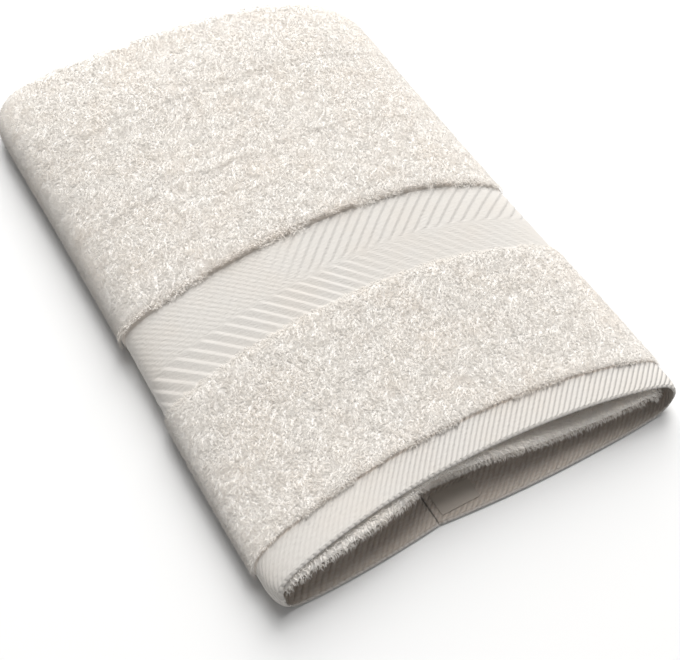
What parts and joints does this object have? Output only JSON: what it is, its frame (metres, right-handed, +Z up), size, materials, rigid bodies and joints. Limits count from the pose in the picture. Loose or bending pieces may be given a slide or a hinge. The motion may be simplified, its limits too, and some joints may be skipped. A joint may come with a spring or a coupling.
{
  "type": "folded bath sheet",
  "caption": "Folded cotton terry bath sheet with a woven chevron border and flat ribbed hems, lying flat with its open hem mouth to the front.",
  "frame": {"origin": "centre of the folded sheet's footprint, on the surface that it lies on", "axes": "+Z up out of the stack, -Y towards the open hem mouth, +Y towards the rounded back fold, +X to the right seen from the mouth"},
  "size_m": [0.433, 0.6304, 0.0543],
  "materials": {
    "terry_cotton": "ivory combed cotton terry, deep soft pile on both faces, flat woven border and hems",
    "label_ribbon": "bare ivory ribbon, smooth fine weave"
  },
  "bodies": {
    "root": {"terry_cloth": "terry_cotton", "woven_label": "label_ribbon"}
  },
  "joints": []
}
